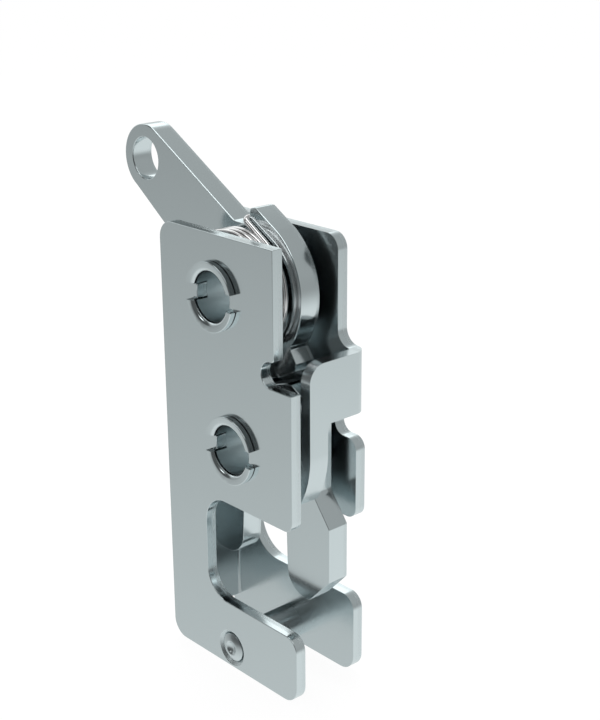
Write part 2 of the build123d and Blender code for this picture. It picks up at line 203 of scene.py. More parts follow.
def pressed_parts(tree, place):
    """Masks for the cut edges, the slopes, the faces between the plates and the web's inner face.

    Faces between the plates lie between their inner faces and don't point back. Of them, the
    web's points to the mouth, from behind the lower rivet's axis.
    """
    facing = put(tree, "NewGeometry").outputs["Normal"]
    normal = put(tree, "SeparateXYZ", {"Vector": facing}).outputs
    way = put(tree, "SeparateXYZ", {"Vector": place}).outputs
    across = put(tree, "Math", {0: normal["Y"]}, operation="ABSOLUTE").outputs[0]
    tests = {
        "slope": (across, SLOPE, "LESS_THAN"),
        "past_near": (way["Y"], (SHEET - FACE) * MM, "GREATER_THAN"),
        "before_far": (way["Y"], (FAR_IN + FACE) * MM, "LESS_THAN"),
        "not_back": (normal["X"], -TURNED_AWAY, "GREATER_THAN"),
        "to_mouth": (normal["X"], TURNED_AWAY, "GREATER_THAN"),
        "behind": (way["X"], 0.0, "LESS_THAN"),
    }
    part = {
        key: put(tree, "Math", {0: value, 1: limit}, operation=test).outputs[0]
        for key, (value, limit, test) in tests.items()
    }
    part["inside"] = overlap(tree, part["past_near"], part["before_far"], part["not_back"])
    part["web"] = overlap(tree, part["inside"], part["to_mouth"], part["behind"])
    edge = put(tree, "MapRange", {"Value": across, "From Min": EDGE_GONE, "From Max": EDGE_FULL})
    part["edge"] = edge.outputs["Result"]
    part["level"] = way["Y"]
    return part


print("between the plates is", SHEET - FACE, "to", FAR_IN + FACE, "mm")


# %% [markdown]
# Three noises make the grain: soft clouds, hairlines drawn out along Z as packing and handling
# leave them, and the grit of the torn edges.

# %% Grain of the skin
def skin_grain(tree, place):
    """Clouds, hairlines and grit, each a noise whose scale is one over its size."""
    fine, long = 1 / (HAIRLINE_MM * MM), 1 / (HAIRLINE_MM * MM * HAIRLINE_LENGTHS)
    stretched = put(tree, "Mapping", {"Vector": place, "Scale": (fine, fine, long)}).outputs[0]
    noises = (
        (place, 1 / (CLOUD_MM * MM), 3.0), (stretched, 1.0, 2.0), (place, 1 / (GRIT_MM * MM), 4.0))
    return [
        put(tree, "TexNoise", {"Vector": where, "Scale": scale, "Detail": detail}).outputs["Fac"]
        for where, scale, detail in noises
    ]


print("a hairline is", HAIRLINE_MM, "by", HAIRLINE_MM * HAIRLINE_LENGTHS, "mm")


# %% [markdown]
# The mirror is metallic 1 with the default IOR, a low roughness to which each part of the skin
# adds its share, and bumps far smaller than the sheet. Painted shade is a dark tone of the metal,
# in the specular tint too, because a metal seen at a grazing angle is white whatever its base
# colour.

# %% Zinc plate material
def zinc_plate(name, face_y, tear_mm=PLATE_TEAR, gloss=0.13, inner_dull=0.0,
               spot=CATCH, spot_dull=0.0, edge_shade=0.0, web_shade=0.0):
    """Zinc coat on a piece that the punch entered at face_y, and whose edges tear past tear_mm.

    inner_dull is added to the roughness between the plates, and spot_dull to that of slopes within
    some 4 mm of the spot. The last two arguments give how much of the tone is painted shade, on the
    cut edges near the spot and on the web's inner face.
    """
    material, tree, out = blank_material(name)
    place = put(tree, "TexCoord").outputs["Object"]
    part = pressed_parts(tree, place)
    clouds, hairlines, grit = skin_grain(tree, place)
    ragged = summed(tree, part["level"], (clouds, RAGGED_MM * MM))
    torn = put(tree, "MapRange", {
        "Value": ragged,
        "From Min": (face_y + tear_mm[0]) * MM, "From Max": (face_y + tear_mm[1]) * MM,
    }).outputs["Result"]
    tear = overlap(tree, part["edge"], torn)
    near_spot = put(tree, "MapRange", {
        "Value": off_axis(tree, place, spot),
        "From Min": SPOT_GONE * MM, "From Max": SPOT_FULL * MM,
    }).outputs["Result"]
    rough = summed(
        tree, gloss - GLOSS_SWING / 2, (clouds, GLOSS_SWING), (hairlines, GLOSS_SWING),
        (tear, TEAR_DULL), (part["inside"], inner_dull),
        (overlap(tree, near_spot, part["slope"]), spot_dull))
    # painted shade: the share of the tone and the specular tint that is darkened
    shade_share = summed(
        tree, 0.0, (overlap(tree, near_spot, part["edge"]), edge_shade), (part["web"], web_shade))
    tone, tint = (
        put(tree, "Mix", {0: shade_share, 6: linear(clean), 7: linear(PAINTED_SHADE)}, data_type="RGBA")
        for clean in (ZINC, WHITE)
    )
    scratched = put(tree, "Bump", {"Height": hairlines, "Strength": 0.04, "Distance": 0.02 * MM})
    rugged = put(tree, "Bump", {
        "Height": grit, "Strength": tear, "Distance": 0.01 * MM, "Normal": scratched.outputs[0]})
    shade = put(tree, "BsdfPrincipled", {
        "Base Color": tone.outputs[2], "Specular Tint": tint.outputs[2],
        "Metallic": 1.0, "Roughness": rough, "Normal": rugged.outputs[0],
    })
    tree.links.new(shade.outputs["BSDF"], out.inputs["Surface"])
    return material


near_zinc = zinc_plate("zinc_on_near_plate", 0.0, inner_dull=0.07, spot=FOOT, spot_dull=0.25)
# the far plate's web gets painted shade
far_zinc = zinc_plate("zinc_on_far_plate", FAR_IN, inner_dull=0.07, web_shade=0.35)
# the levers' cut edges at the catch get painted shade
lever_zinc = zinc_plate(
    "zinc_on_fine_blanked_levers", LEVER_NEAR, LEVER_TEAR, gloss=0.12, edge_shade=0.85)
print("made", near_zinc.name, far_zinc.name, lever_zinc.name)

# %% [markdown]
# ## Zinc plate on turned steel
#
# The rivets and the foot pin come off a lathe. A turning tool leaves rings a few hundredths of a
# millimetre apart round the axis, which the plating softens. The rings follow the distance from
# the axis and the way along it, so each piece gets a material that is centred on its own axis.
# Two lines of painted shade darken the tone: where the flare folds out of the bore, and where the
# head meets the plate. Both are drawn wider than the real crevices, so that they show.

# %% Parts of a turned piece
FOLD_AT = 0.45         # how far outside the plates the flare folds out of the bore
RIM_R = 5.3            # the head meets the plate outside this radius
BORE_R = 4.1
NO_BORE = -1.0


def turned_parts(tree, level, radius, bored_to):
    """Masks for the bore and for two lines of painted shade, from the level along Y and the radius.

    Each fades in between two lengths. The fold lies within the bore's mouth, at FOLD_AT outside
    either plate, and the other line just outside the plates, on the rim.
    """
    off_middle = put(tree, "Math", {0: level, 1: MIDDLE * MM}, operation="SUBTRACT").outputs[0]
    outward = put(tree, "Math", {0: off_middle}, operation="ABSOLUTE").outputs[0]
    past_fold = put(tree, "Math", {0: outward, 1: (MIDDLE + FOLD_AT) * MM}, operation="SUBTRACT")
    off_fold = put(tree, "Math", {0: past_fold.outputs[0]}, operation="ABSOLUTE").outputs[0]
    fades = {
        "drilled": (radius, bored_to + 0.30, bored_to + 0.10),
        "in_bore": (radius, bored_to + 0.35, bored_to + 0.25),
        "fold": (off_fold, 0.20, 0.13),
        "under_head": (outward, MIDDLE + 0.16, MIDDLE + 0.10),
    }
    part = {
        key: put(tree, "MapRange", {"Value": value, "From Min": gone * MM, "From Max": full * MM})
        .outputs["Result"] for key, (value, gone, full) in fades.items()
    }
    rim = put(tree, "Math", {0: radius, 1: RIM_R * MM}, operation="GREATER_THAN").outputs[0]
    # painted shade along the fold's line and along the line where the head meets the plate
    shade_lines = put(tree, "Math", {
        0: overlap(tree, part["fold"], part["in_bore"]), 1: overlap(tree, part["under_head"], rim),
    }, operation="MAXIMUM").outputs[0]
    return part["drilled"], shade_lines


print("the fold's line is", FOLD_AT, "mm outside the plates")


# %% [markdown]
# The rings could be cut into the mesh, but they are far finer than its faces, so a sine wave in a
# bump draws them. The bore is drilled and not turned, so it is duller and has no polish.

# %% Turned steel material
RING_MM = 0.16         # a fine finishing cut is nearer 0.05 mm, drawn coarser so that it shows
BLOOM_MM = 3.0         # soft patches of the plating's gloss
BORE_DULL = 0.14
BLOOM_SWING = 0.08


def turned_zinc(name, axis, bored_to, gloss=0.15):
    """Zinc coat over lathe rings about an axis along Y, with a duller bore of a radius in mm.

    The rings are a sine wave of the radius plus the way along Y.
    """
    material, tree, out = blank_material(name)
    place = put(tree, "TexCoord").outputs["Object"]
    level = put(tree, "SeparateXYZ", {"Vector": place}).outputs["Y"]
    radius = off_axis(tree, place, axis)
    drilled, shade_lines = turned_parts(tree, level, radius, bored_to)
    reach = put(tree, "Math", {0: radius, 1: level}, operation="ADD").outputs[0]
    turns = 2 * math.pi / (RING_MM * MM)
    phase = put(tree, "Math", {0: reach, 1: turns}, operation="MULTIPLY").outputs[0]
    wave = put(tree, "Math", {0: phase}, operation="SINE").outputs[0]
    bloom = put(tree, "TexNoise", {"Vector": place, "Scale": 1 / (BLOOM_MM * MM), "Detail": 3.0})
    # the tone is darkened to painted shade along both lines
    tone = put(tree, "Mix", {0: shade_lines, 6: linear(ZINC), 7: linear(PAINTED_SHADE)}, data_type="RGBA")
    rough = summed(
        tree, gloss - BLOOM_SWING / 2, (bloom.outputs["Fac"], BLOOM_SWING), (drilled, BORE_DULL))
    rings = put(tree, "Bump", {"Height": wave, "Strength": 0.02, "Distance": 0.005 * MM})
    shade = put(tree, "BsdfPrincipled", {
        "Base Color": tone.outputs[2], "Metallic": 1.0, "Roughness": rough,
        "Normal": rings.outputs[0],
    })
    tree.links.new(shade.outputs["BSDF"], out.inputs["Surface"])
    return material


lower_turned = turned_zinc("zinc_on_lower_rivet", LOWER, BORE_R)
upper_turned = turned_zinc("zinc_on_upper_rivet", UPPER, BORE_R)
foot_turned = turned_zinc("zinc_on_foot_pin", FOOT, NO_BORE, gloss=0.28)
print("made", lower_turned.name, upper_turned.name, foot_turned.name)

# %% [markdown]
# ## Drawn spring wire
#
# Spring wire is pulled through a die, which polishes it and leaves hairlines along its length. It
# is not plated with the sheets, so it is a little warmer than they are. The lines run along the
# wire, so the pattern reads the piece's own UV map, whose V goes round the wire and U along it.

# %% Spring wire material
WIRE_TONE = "#D9D6D6"
LINES_ALONG, LINES_ROUND = 0.25, 9.0    # draw lines per millimetre
WIRE_GLOSS, WIRE_SWING = 0.16, 0.12

wire_steel, tree, out = blank_material("drawn_spring_wire")
uv = put(tree, "UVMap", uv_map="wire").outputs["UV"]
stretched = put(tree, "Mapping", {"Vector": uv, "Scale": (LINES_ALONG, LINES_ROUND, 1.0)})
lines = put(tree, "TexNoise", {"Vector": stretched.outputs[0], "Scale": 1.0, "Detail": 3.0})
grooves = put(tree, "Bump", {
    "Height": lines.outputs["Fac"], "Strength": 0.12, "Distance": 0.01 * MM})
shade = put(tree, "BsdfPrincipled", {
    "Base Color": linear(WIRE_TONE), "Metallic": 1.0, "Normal": grooves.outputs[0],
    "Roughness": summed(tree, WIRE_GLOSS - WIRE_SWING / 2, (lines.outputs["Fac"], WIRE_SWING)),
})
tree.links.new(shade.outputs["BSDF"], out.inputs["Surface"])
print("made", wire_steel.name)


# %% [markdown]
# ## Sheared edges that are not razor sharp
#
# A punch drags the skin of the sheet round the edge before it cuts, and plating fills what is
# left, so every edge of a pressing is a radius of one or two tenths of a millimetre. That radius
# is what draws the thin bright line along the edges in a photograph. The solids have sharp edges,
# so each is copied, its loose triangles are joined and its flat faces made whole again, and a
# bevel turns the edges. A bevel only takes away, so the copy stays inside its solid.

# %% Merged copies of the solids
JOIN_MM = 0.002            # loose corners closer than this are one
FLAT_DEG = 0.4             # triangles that meet at less than this are one face
EDGE_DEG = 30              # faces that meet at more than this have an edge


def add_object(name, data):
    """Object at the origin, unturned and unscaled, linked to the scene."""
    item = bpy.data.objects.new(name, data)
    bpy.context.collection.objects.link(item)
    return item


def merged_copy(node, material):
    """Mesh of a solid with its corners joined and its flat faces whole, smooth up to its edges."""
    shell = bmesh.new()
    shell.from_mesh(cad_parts[node].data)
    bmesh.ops.remove_doubles(shell, verts=shell.verts, dist=JOIN_MM * MM)
    bmesh.ops.dissolve_limit(
        shell, angle_limit=math.radians(FLAT_DEG), verts=shell.verts[:], edges=shell.edges[:])
    mesh = bpy.data.meshes.new(node + "_skin")
    shell.to_mesh(mesh)
    shell.free()
    mesh.shade_smooth()
    mesh.set_sharp_from_angle(angle=math.radians(EDGE_DEG))
    mesh.materials.clear()
    mesh.materials.append(material)
    print(mesh.name, len(mesh.polygons), "faces before its edges are turned")
    return mesh


# %% [markdown]
# A bevel tilts the normals of the faces next to it, and a tilted normal shows at once on a plane
# mirror, as a wedge of another tone. So on the plates and the levers, the larger of two faces that
# meet gives the normal. The turned pieces have no flat side, and take the bevel's own normals.

# %% Softened copies of the solids
def softened(node, material, body, edge_mm, flat_sides=True):
    """Stands for a solid as its merged copy, whose edges get a radius of edge_mm."""
    piece = add_object(node + "_skin", merged_copy(node, material))
    bevel = piece.modifiers.new("edge", "BEVEL")
    bevel.width = edge_mm * MM
    bevel.segments = 3
    bevel.limit_method = "ANGLE"
    bevel.angle_limit = math.radians(EDGE_DEG)
    bevel.harden_normals = not flat_sides
    bevel.use_clamp_overlap = True
    if flat_sides:
        plane = piece.modifiers.new("flat_sides", "WEIGHTED_NORMAL")
        plane.mode = "FACE_AREA"
        plane.weight = 100
        plane.keep_sharp = True
    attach(piece, body)
    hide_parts(node)


softened("near_plate", near_zinc, "housing", 0.08)
softened("far_plate", far_zinc, "housing", 0.10)
softened("trigger", lever_zinc, "trigger", 0.15)
softened("claw", lever_zinc, "claw", 0.15)
softened("upper_rivet", upper_turned, "housing", 0.12, flat_sides=False)
softened("lower_rivet", lower_turned, "housing", 0.12, flat_sides=False)


# %% [markdown]
# ## Springs: a round wire carried along its path
#
# Each spring is one wire: a straight leg, the coil, and a second leg whose end is bent to hook in.
# A curve object with a round bevel would do, but its rings twist in the bend and its ends are flat.
# So the path is worked out as arrays of points, straight runs, a helix and a bend, and a circle
# is carried along it. Nearly all of the path lies across the Y axis, so the frame of the circle
# at each point is built from the path's direction and Y. The hook turns towards Y, and there the
# frame keeps the side vector that it had when the bend began.

# %% Lines, turns and bends
ALONG_Y = np.array([0.0, 1.0, 0.0])


def run_between(a, b, count):
    """Points on the straight line from a to b, without b."""
    t = np.linspace(0, 1, count, endpoint=False)[:, None]
    return a + (b - a) * t


def helix_points(axis, radius, start_deg, sweep_deg, near_y, pitch, count):
    """Turns about Y: x = cx + r cos a, z = cz + r sin a, and y climbs by the pitch each turn."""
    a = np.radians(start_deg + np.linspace(0, sweep_deg, count))
    y = near_y + pitch * (np.degrees(a) - start_deg) / 360
    return np.stack([axis[0] + radius * np.cos(a), y, axis[1] + radius * np.sin(a)], 1)


def hook_points(corner, before, after, radius, count=14):
    """Bend from one direction to another about an inner centre: c + r (sin a before - cos a in)."""
    turn = math.acos(float(before @ after))
    inward = (after - before * (before @ after)) / math.sin(turn)
    centre = corner - before * radius * math.tan(turn / 2) + radius * inward
    a = np.linspace(0, turn, count)[:, None]
    return centre + radius * (np.sin(a) * before - np.cos(a) * inward)


def heading(deg, radius, pitch):
    """Direction of a coil's wire: (-sin a, cos a) in the turn's plane, and its climb along Y."""
    a = math.radians(deg)
    return np.array([-math.sin(a), pitch / (2 * math.pi * radius), math.cos(a)])


def on_circle(axis, radius, deg, y):
    """Point at an angle on a circle about Y."""
    a = math.radians(deg)
    return np.array([axis[0] + radius * math.cos(a), y, axis[1] + radius * math.sin(a)])


# %% [markdown]
# Wires and turned pieces are both grids: rows of rings that close on themselves. One function
# makes the quads between the rows, closes both ends and lays the UV map. A mesh whose rings run
# the other way round would be inside out, so its normals are worked out again.

# %% Grid of rings to a closed mesh
def grid_mesh(name, points, along, radius):
    """Quads between the rows of a closed ring grid, two end caps, and a UV map in millimetres."""
    rows, around = points.shape[:2]
    i, j = np.meshgrid(np.arange(rows - 1), np.arange(around), indexing="ij")
    k = (j + 1) % around
    this, above = i * around, (i + 1) * around
    quads = np.stack([this + j, this + k, above + k, above + j], -1)
    faces = quads.reshape(-1, 4).tolist()
    caps = [list(range(around))[::-1], list(range((rows - 1) * around, rows * around))]
    mesh = bpy.data.meshes.new(name)
    mesh.from_pydata((points.reshape(-1, 3) * MM).tolist(), [], faces + caps)
    v = np.stack([j, j + 1, j + 1, j], -1) * (2 * math.pi * radius / around)
    u = np.stack([along[i], along[i], along[i + 1], along[i + 1]], -1)
    uv = np.concatenate([np.stack([u, v], -1).reshape(-1, 2), np.zeros((2 * around, 2))])
    mesh.uv_layers.new(name="wire").data.foreach_set("uv", uv.ravel())
    mesh.shade_smooth()
    mesh.validate()
    shell = bmesh.new()
    shell.from_mesh(mesh)
    bmesh.ops.recalc_face_normals(shell, faces=shell.faces)
    shell.to_mesh(mesh)
    shell.free()
    print(name, len(mesh.polygons), "faces")
    return mesh


# %% [markdown]
# The wire is a ring of points at each step of its path, and shrinks to a rounded end at both ends,
# as a cropped and deburred wire does.

# %% Wire along a path
ACROSS_Y = 0.97            # the frame is read from Y only where the path lies this much across it
DOME_ROWS = 5
DOME_HEIGHT = 0.6          # height of the rounded ends, in radii of the wire
POLE = 0.02                # the last ring's radius, next to nothing, in radii of the wire


def wire_mesh(name, path, radius=WIRE_R, around=28):
    """Closed round tube: ring point = path + r (cos b side + sin b up), with domed ends."""
    step = np.gradient(path, axis=0)
    ahead = step / np.linalg.norm(step, axis=1, keepdims=True)
    side = np.cross(ahead, ALONG_Y)
    strong = np.linalg.norm(side, axis=1) > ACROSS_Y
    side[strong] /= np.linalg.norm(side[strong], axis=1, keepdims=True)
    side = side[np.maximum.accumulate(np.where(strong, np.arange(len(path)), 0))]
    up = np.cross(side, ahead)
    dome = np.radians(np.linspace(90, 15, DOME_ROWS))[:, None]
    first = path[0] - ahead[0] * radius * DOME_HEIGHT * np.sin(dome)
    final = path[-1] + ahead[-1] * radius * DOME_HEIGHT * np.sin(dome[::-1])
    rows = np.concatenate([first, path, final])
    scale = np.concatenate([np.cos(dome)[:, 0], np.ones(len(path)), np.cos(dome[::-1])[:, 0]])
    scale[[0, -1]] = POLE
    side, up = (
        np.concatenate([np.repeat(v[:1], DOME_ROWS, 0), v, np.repeat(v[-1:], DOME_ROWS, 0)])
        for v in (side, up)
    )
    b = np.linspace(0, 2 * math.pi, around, endpoint=False)
    ring = np.cos(b)[None, :, None] * side[:, None] + np.sin(b)[None, :, None] * up[:, None]
    points = rows[:, None] + radius * scale[:, None, None] * ring
    travelled = np.concatenate([[0], np.cumsum(np.linalg.norm(np.diff(rows, axis=0), axis=1))])
    return grid_mesh(name, points, travelled, radius)


# %% [markdown]
# Both springs lie just in front of the lever that their far leg hooks. The legs leave the coil
# along its tangents. The far leg's corner is at a known level, just clear of the lever, so the
# pitch and the number of turns give the levels of the coil's two ends.
#
# A torsion spring winds as its lever turns: one leg stands still, the other goes with the lever,
# and each turn between takes its share. Here the wire is built in one pose only, and does not wind.

# %% A spring of one wire
CLEAR = 0.1                # between the wire and what it passes
HOOK_R = 0.9               # bend at the end of the far leg
END_DOME = DOME_HEIGHT * WIRE_R
wire_y = LEVER_NEAR - CLEAR - WIRE_R


def spring_path(axis, coil_r, pitch, near_deg, far_deg, turns, near_run, far_run, end_y, counts):
    """Near leg, coil, far leg, a bend towards +Y and its end, and the levels of the coil's ends."""
    sweep = far_deg - near_deg + 360 * turns
    near_way, far_way = heading(near_deg, coil_r, pitch), heading(far_deg, coil_r, pitch)
    far_y = wire_y - far_run * far_way[1]
    near_y = far_y - pitch * sweep / 360
    near_from = on_circle(axis, coil_r, near_deg, near_y)
    far_from = on_circle(axis, coil_r, far_deg, far_y)
    coil = helix_points(axis, coil_r, near_deg, sweep, near_y, pitch, counts[1])
    corner = far_from + far_way * far_run
    bend = hook_points(corner, far_way / np.linalg.norm(far_way), ALONG_Y, HOOK_R)
    tip = np.array([corner[0], end_y, corner[2]])
    near_tip = near_from - near_way * near_run
    path = np.concatenate([
        run_between(near_tip, near_from, counts[0]), coil[:-1],
        run_between(far_from, bend[0], 8), bend[:-1], run_between(bend[-1], tip, 6), tip[None],
    ])
    return path, near_y, far_y


def wire_piece(node, lever, path, near_y, far_y):
    """Wire in place of a solid, whose coil lies from near_y to far_y. lever is not used."""
    mesh = wire_mesh(node + "_wire", path)
    mesh.materials.append(wire_steel)
    piece = add_object(node + "_wire", mesh)
    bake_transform(piece)
    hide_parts(node)
    print("its coil lies from", round(near_y, 3), "to", round(far_y, 3), "mm")


# %% [markdown]
# The trigger spring is wound round the upper rivet. Its far leg rises along the trigger's shoulder
# and hooks back over the notch, and its near leg leaves downwards and bears on the lower rivet.

# %% Trigger spring
COIL_R, COIL_PITCH = 9.72, 1.107
JOURNAL_R = 6.0
LEG_PAST = 3.5             # how far the near leg runs on past the lower rivet
NOTCH_X = UPPER[0] + 0.36  # wall of the trigger's notch
SHOULDER_DEG = -29.9       # slope of the trigger's shoulder

hook_deg = 90 + SHOULDER_DEG
hook_x = on_circle(UPPER, COIL_R, hook_deg, 0.0)[0]
hook_run = (NOTCH_X - WIRE_R - CLEAR - hook_x) / heading(hook_deg, COIL_R, COIL_PITCH)[0]
span = math.hypot(*UPPER)
bearing = COIL_R + JOURNAL_R + WIRE_R + CLEAR
leg_deg = math.degrees(math.atan2(-UPPER[1], -UPPER[0]) - math.asin(bearing / span)) + 90
leg_run = math.sqrt(span**2 - bearing**2) + LEG_PAST
wire_piece("trigger_spring", "trigger", *spring_path(
    UPPER, COIL_R, COIL_PITCH, leg_deg, hook_deg, 3, leg_run, hook_run,
    LEVER_FAR - 0.4 - END_DOME, counts=(12, 360)))

# %% [markdown]
# The claw spring is wound round the lower rivet. Its far leg goes into a small hole in the claw,
# and its near leg through a hole in the web of the far plate.

# %% Claw spring
CLAW_COIL_R, CLAW_PITCH = 7.6, 1.3
PEG_R, PEG_DEG = 8.6, -28.0        # the hole in the claw, from the lower rivet's axis
PEG_DEPTH = 2.6
WEB_HOLE = (-17.44, -8.0)

peg_run = math.sqrt(PEG_R**2 - CLAW_COIL_R**2)
peg_touch = PEG_DEG - math.degrees(math.acos(CLAW_COIL_R / PEG_R))
web_span = math.hypot(*WEB_HOLE)
web_deg = math.degrees(math.atan2(WEB_HOLE[1], WEB_HOLE[0]) + math.acos(CLAW_COIL_R / web_span))
web_run = math.sqrt(web_span**2 - CLAW_COIL_R**2)
wire_piece("claw_spring", "claw", *spring_path(
    LOWER, CLAW_COIL_R, CLAW_PITCH, web_deg, peg_touch, 2, web_run, peg_run,
    LEVER_NEAR + PEG_DEPTH - END_DOME, counts=(10, 240)))

# %% [markdown]
# ## Foot pin
#
# The pin is turned, pushed through both plates and spun over at its near end. A spinning tool
# leaves a low dome with a raised ring and a centre mark, sunk in the plate's countersink. It could
# be cut from a cylinder, but a profile turned round an axis gives each of those forms its own arc.
# Its shoulders between the plates are those of the CAD solid.

# %% Profile of the foot pin
PIN_R, SHOULDER_R, AXIS_R = 1.9, 3.05, 0.01


def arc(centre, radius, start, end, count=8):
    """Profile points on an arc, angles in degrees from the outward direction towards +Y."""
    a = np.radians(np.linspace(start, end, count))
    return [(centre[0] + radius * math.cos(t), centre[1] + radius * math.sin(t)) for t in a]


centre_mark = [(AXIS_R, 0.33)] + arc((0.0, -1.24), 1.57, 90, 46)[1:]
raised_ring = arc((1.28, 0.02), 0.20, 235, 275, 4)
low_dome = arc((0.0, 5.46), 5.80, -76.5, -64.6)
dome_edge = arc((2.43, 0.30), 0.10, -45, 20, 4)
shoulders = [
    (PIN_R, 1.12), (PIN_R, SHEET), (SHOULDER_R, SHEET),
    (SHOULDER_R, FAR_IN), (PIN_R, FAR_IN), (PIN_R, FAR_OUT),
]
far_head = (
    arc((2.88, 15.62), 0.12, 270, 360, 4) + arc((2.6, 15.9), 0.4, 0, 90)
    + [(1.0, 16.3), (AXIS_R, 16.3)]
)
pin_profile = centre_mark + raised_ring + low_dome + dome_edge + shoulders + far_head
print("foot pin profile of", len(pin_profile), "points")


# %% Foot pin
def turned(name, axis, profile, around=72):
    """Surface of revolution about Y: x = cx + r cos a, z = cz + r sin a, y from the profile."""
    r, y = np.array(profile).T
    a = np.linspace(0, 2 * math.pi, around, endpoint=False)
    x = axis[0] + r[:, None] * np.cos(a)
    z = axis[1] + r[:, None] * np.sin(a)
    points = np.stack([x, np.broadcast_to(y[:, None], x.shape), z], -1)
    along = np.concatenate([[0], np.cumsum(np.hypot(np.diff(r), np.diff(y)))])
    return grid_mesh(name, points, along, SHOULDER_R)


pin_mesh = turned("foot_pin_turned", FOOT, pin_profile)
pin_mesh.set_sharp_from_angle(angle=math.radians(50))
pin_mesh.materials.append(foot_turned)
foot_piece = add_object("foot_pin_turned", pin_mesh)
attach(foot_piece, "housing")
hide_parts("foot_pin")

# %% [markdown]
# ## The solids' own materials
#
# The solids that the pieces stand for are hidden, but they keep a proper finish too, so that
# nothing in the file is left grey.

# %% Finishes of the solids
finishes = {
    "near_plate": near_zinc, "far_plate": far_zinc, "trigger": lever_zinc, "claw": lever_zinc,
    "upper_rivet": upper_turned, "lower_rivet": lower_turned, "foot_pin": foot_turned,
    "trigger_spring": lower_turned, "claw_spring": lower_turned,
}
for node, material in finishes.items():
    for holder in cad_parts[node].material_slots:
        holder.material = material
print("finished", len(finishes), "solids")

# %% [markdown]
# ## Studio
#
# Polished metal has no colour of its own to show: it shows the room. The bright plate was read
# face by face: each face's normal gives the direction that it mirrors, and its tone gives the
# level there. That gave a room with a pale floor that brightens away from the horizon, more so on
# the right, grey walls and ceiling, softboxes behind and on the left, and a dark end above the
# table where the camera stands, with one small lamp in it that glints on the rivets' lips. A
# strip light hangs overhead, across the plates' width: it draws the white line along the levers'
# edges and along the wires.
#
# Real lamps round the object could give the same, but each would have to be set against all the
# others. Here the room is painted by direction, one layer over the other.

# %% Patches of the room
world = bpy.data.worlds.new("white_studio")
bpy.context.scene.world = world
world.use_nodes = True
sky = world.node_tree
sky.nodes.clear()
look = put(sky, "TexCoord").outputs["Generated"]
unit_look = put(sky, "VectorMath", {0: look}, operation="NORMALIZE").outputs["Vector"]


def patch(towards, start, end, levels=(0.0, 1.0), ease="SMOOTHSTEP"):
    """From one level to another as the cosine of the angle to a direction goes start to end."""
    way = Vector(towards).normalized()
    cosine = put(sky, "VectorMath", {0: unit_look, 1: way}, operation="DOT_PRODUCT")
    return put(sky, "MapRange", {
        "Value": cosine.outputs["Value"], "From Min": start, "From Max": end,
        "To Min": levels[0], "To Max": levels[1],
    }, interpolation_type=ease).outputs["Result"]


def lamp_patch(towards, width_deg, soft_deg):
    """1 where the direction is within width of a given one, and 0 from width + soft outwards."""
    return patch(
        towards, math.cos(math.radians(width_deg + soft_deg)), math.cos(math.radians(width_deg)))


def layered(below, level, *masks):
    """Level laid over the room below it, where all the masks overlap."""
    shown = overlap(sky, *masks)
    return put(sky, "Mix", {0: shown, 2: below, 3: level}, data_type="FLOAT").outputs[0]


print("the room's nodes so far", len(sky.nodes))

# %% [markdown]
# A level of 1 is white. Floor, walls and ceiling are wide and gently graded, and the lamps are
# small and above white. The dark end stops above the floor, so that the faces that mirror the
# table stay pale. The strip is thin along Y and lies round the zenith.

# %% The room by direction
UP, NEAR, FAR = (0, 0, 1), (0, -1, 0), (0, 1, 0)
ON_RIGHT, LEFT_BEHIND = (0.7, 0.7, 0), (-1, 0, 0)      # as the camera sees them
PALE_PATCHES = (  # direction, half width and soft border in degrees, level
    ((-0.7, 0.6, 0.35), 14, 22, 0.82),       # wall behind
    ((-0.97, 0.0, 0.02), 12, 14, 0.85),      # wall on the left
    ((-0.70, 0.50, 0.55), 9, 8, 1.75),       # softbox high up behind
    ((-0.85, 0.05, 0.52), 12, 10, 1.6),      # softbox high up on the left
)
DARK_END, DARK_LEVEL = ((0.25, -0.88, 0.40), 62, 8), 0.11
GLINT_LAMP, GLINT_LEVEL = ((-0.32, -0.77, 0.55), 5, 6), 2.4
STRIP_AT, STRIP_LEVEL = (0.17, 0, 0.985), 2.6

left_floor = patch(UP, -0.1, -0.75, levels=(0.44, 0.97), ease="LINEAR")
right_floor = patch(UP, -0.03, -0.5, levels=(0.48, 1.03))
ceiling = patch(LEFT_BEHIND, 0.0, 0.5, levels=(0.51, 0.61))
room = layered(left_floor, right_floor, patch(ON_RIGHT, -0.3, 0.5))
room = layered(room, ceiling, patch(UP, 0.0, 0.3))
for towards, width_deg, soft_deg, level in PALE_PATCHES:
    room = layered(room, level, lamp_patch(towards, width_deg, soft_deg))
room = layered(room, DARK_LEVEL, lamp_patch(*DARK_END), patch(UP, -0.34, -0.12))
room = layered(room, GLINT_LEVEL, lamp_patch(*GLINT_LAMP))
room = layered(
    room, STRIP_LEVEL,
    patch(FAR, 0.34, 0.2), patch(NEAR, 0.34, 0.2), patch(STRIP_AT, 0.79, 0.85))
print("the room's nodes", len(sky.nodes))

# %% [markdown]
# The world gives the metal that room, by its glossy rays. Other rays get plain white light at a
# level where a colour renders about as it is written, and the camera sees a white background.

# %% World
ROOM_TINT, ROOM_LEVEL = (0.957, 1.0, 0.997), 0.867
PLAIN_LEVEL = 0.75
PAPER = (1.0, 1.0, 1.0, 1.0)
tinted = put(sky, "VectorMath", {0: room, 1: ROOM_TINT}, operation="MULTIPLY").outputs[0]
mirrored = put(sky, "Background", {"Color": tinted, "Strength": ROOM_LEVEL}).outputs[0]
plain = put(sky, "Background", {"Color": PAPER, "Strength": PLAIN_LEVEL}).outputs[0]
seen = put(sky, "Background", {"Color": PAPER, "Strength": 1.0}).outputs[0]
ray = put(sky, "LightPath").outputs
first = put(sky, "MixShader", {0: ray["Is Glossy Ray"], 1: plain, 2: mirrored}).outputs[0]
both = put(sky, "MixShader", {0: ray["Is Camera Ray"], 1: first, 2: seen}).outputs[0]
put(sky, "OutputWorld", {"Surface": both})
print("world", world.name, "with", len(sky.nodes), "nodes")

